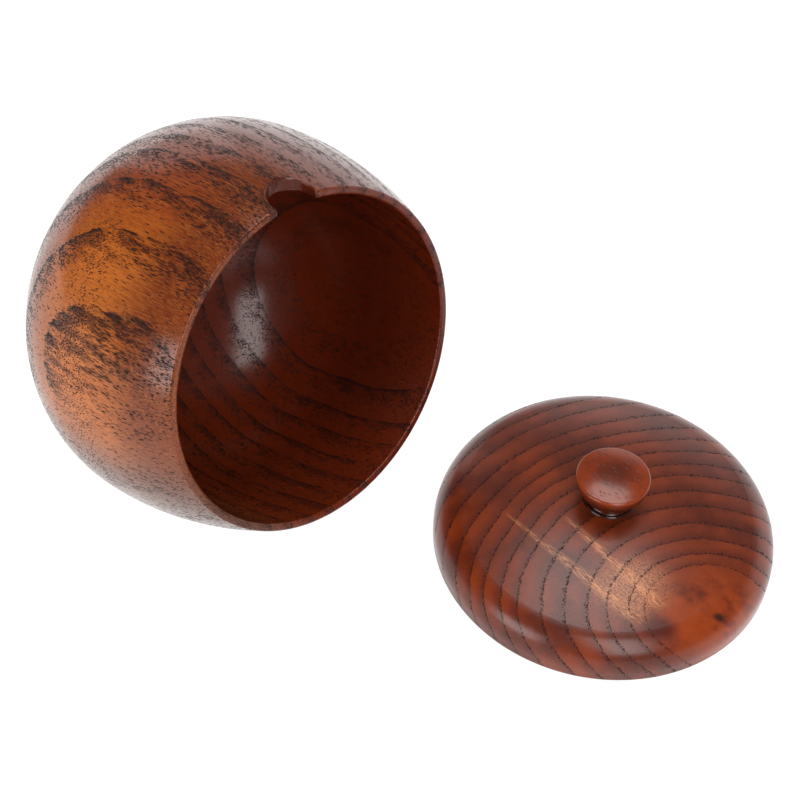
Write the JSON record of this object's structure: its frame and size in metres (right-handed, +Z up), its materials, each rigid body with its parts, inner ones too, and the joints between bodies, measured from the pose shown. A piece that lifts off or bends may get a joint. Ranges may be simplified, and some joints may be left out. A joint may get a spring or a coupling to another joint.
{
  "type": "shaving mug",
  "caption": "Turned wooden shaving bowl lying on its side, with a rounded handle notch in its rim, and a low domed lid with a turned knob lying beside its mouth.",
  "frame": {"origin": "on the surface that both pieces lie on, under the middle of the box around the whole arrangement", "axes": "+Z up; +X the way the bowl's mouth faces, seen from above; the lid lies ahead of the mouth, towards +X and +Y"},
  "size_m": [0.1704, 0.1378, 0.0986],
  "materials": {
    "bowl_wood": "orange-brown open-grained hardwood under clear satin-gloss lacquer",
    "lid_wood": "red-brown open-grained hardwood under clear satin-gloss lacquer",
    "knob_wood": "red-brown close-grained hardwood under clear gloss lacquer"
  },
  "bodies": {
    "bowl": {"bowl": "bowl_wood"},
    "lid": {"lid": "lid_wood", "knob": "knob_wood"}
  },
  "joints": [
    {"name": "lid_lift", "type": "slide", "parent": "bowl", "child": "lid", "axis": [0, 0, 1], "range_m": [0, 0.12]}
  ]
}
